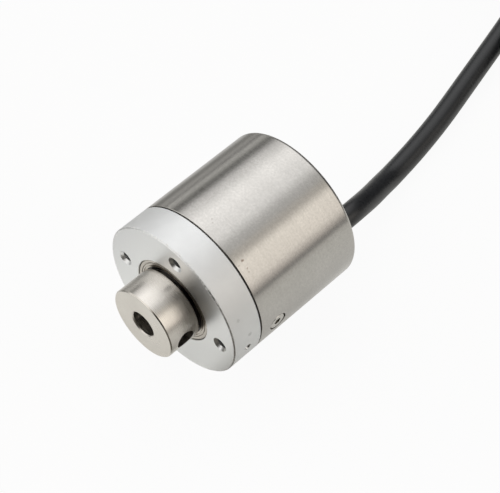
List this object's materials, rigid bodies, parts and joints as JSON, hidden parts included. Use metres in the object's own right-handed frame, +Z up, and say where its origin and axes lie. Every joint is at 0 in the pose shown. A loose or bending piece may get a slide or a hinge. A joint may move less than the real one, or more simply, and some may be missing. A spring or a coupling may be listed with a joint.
{
  "type": "rotary angle sensor",
  "caption": "Round metal rotary angle sensor with a hollow clamping hub, a drilled mounting flange and a cable from its rear face.",
  "frame": {"origin": "on the shaft's axis, in the plane of the flange's front face", "axes": "-Y along the shaft axis out of the hub, +Y towards the rear face and the cable, +Z up, the radial screws near +X and -X"},
  "size_m": [0.0473, 0.2348, 0.038],
  "materials": {
    "bead_blasted_aluminium": "bead blasted and clear anodised, satin",
    "brushed_steel": "fine brushed along its length",
    "turned_steel": "fine turned",
    "bearing_steel": "ground and polished",
    "screw_steel": "satin",
    "blackened_steel": "blackened",
    "brass": "turned",
    "magnet_grey": "sintered and plated",
    "circuit_board_green": "glass fibre laminate with solder mask",
    "chip_black": "moulded, matt",
    "capacitor_silver": "drawn can",
    "connector_white": "moulded",
    "black_rubber": "moulded, matt",
    "cable_jacket": "extruded, satin",
    "lead_red": "extruded",
    "lead_white": "extruded",
    "lead_green": "extruded"
  },
  "bodies": {
    "root": {"flange": "bead_blasted_aluminium", "housing": "brushed_steel", "housing_o_ring": "black_rubber", "housing_screw_1": "screw_steel", "housing_screw_2": "screw_steel", "wave_washer": "blackened_steel", "flange_retaining_ring": "blackened_steel", "circuit_board": "circuit_board_green", "angle_chip": "chip_black", "signal_chip": "chip_black", "voltage_regulator": "chip_black", "cable_connector": "connector_white", "strain_relief": "black_rubber", "inner_cable": "cable_jacket", "cable_clamp": "brass", "cable": "cable_jacket", "cable_hank": "cable_jacket", "cable_tie": "black_rubber", "cable_tail": "cable_jacket", "front_bearing_outer_ring": "bearing_steel", "front_bearing_front_seal": "bearing_steel", "front_bearing_rear_seal": "bearing_steel", "rear_bearing_outer_ring": "bearing_steel", "rear_bearing_front_seal": "bearing_steel", "rear_bearing_rear_seal": "bearing_steel", "board_standoff_1": "brass", "board_screw_1": "screw_steel", "board_standoff_2": "brass", "board_screw_2": "screw_steel", "board_standoff_3": "brass", "board_screw_3": "screw_steel", "capacitor_1": "capacitor_silver", "capacitor_2": "capacitor_silver", "inner_lead_red": "lead_red", "tail_lead_red": "lead_red", "inner_lead_white": "lead_white", "tail_lead_white": "lead_white", "inner_lead_green": "lead_green", "tail_lead_green": "lead_green"},
    "shaft": {"hub_shaft": "turned_steel", "hub_set_screw": "blackened_steel", "bearing_spacer": "turned_steel", "shaft_retaining_ring": "blackened_steel", "magnet_carrier": "brass", "magnet": "magnet_grey", "front_bearing_inner_ring": "bearing_steel", "rear_bearing_inner_ring": "bearing_steel"},
    "front_cage": {"front_bearing_cage": "bearing_steel"},
    "rear_cage": {"rear_bearing_cage": "bearing_steel"}
  },
  "joints": [
    {"name": "shaft_spin", "type": "hinge", "parent": "root", "child": "shaft", "pos_m": [0, 0, 0], "axis": [0, 1, 0], "continuous": true},
    {"name": "front_cage_spin", "type": "hinge", "parent": "root", "child": "front_cage", "pos_m": [0, 0, 0], "axis": [0, 1, 0], "continuous": true},
    {"name": "rear_cage_spin", "type": "hinge", "parent": "root", "child": "rear_cage", "pos_m": [0, 0, 0], "axis": [0, 1, 0], "continuous": true}
  ],
  "couplings": [
    {"joint": "front_cage_spin", "follows": "shaft_spin", "ratio": 0.4279},
    {"joint": "rear_cage_spin", "follows": "shaft_spin", "ratio": 0.4279}
  ]
}
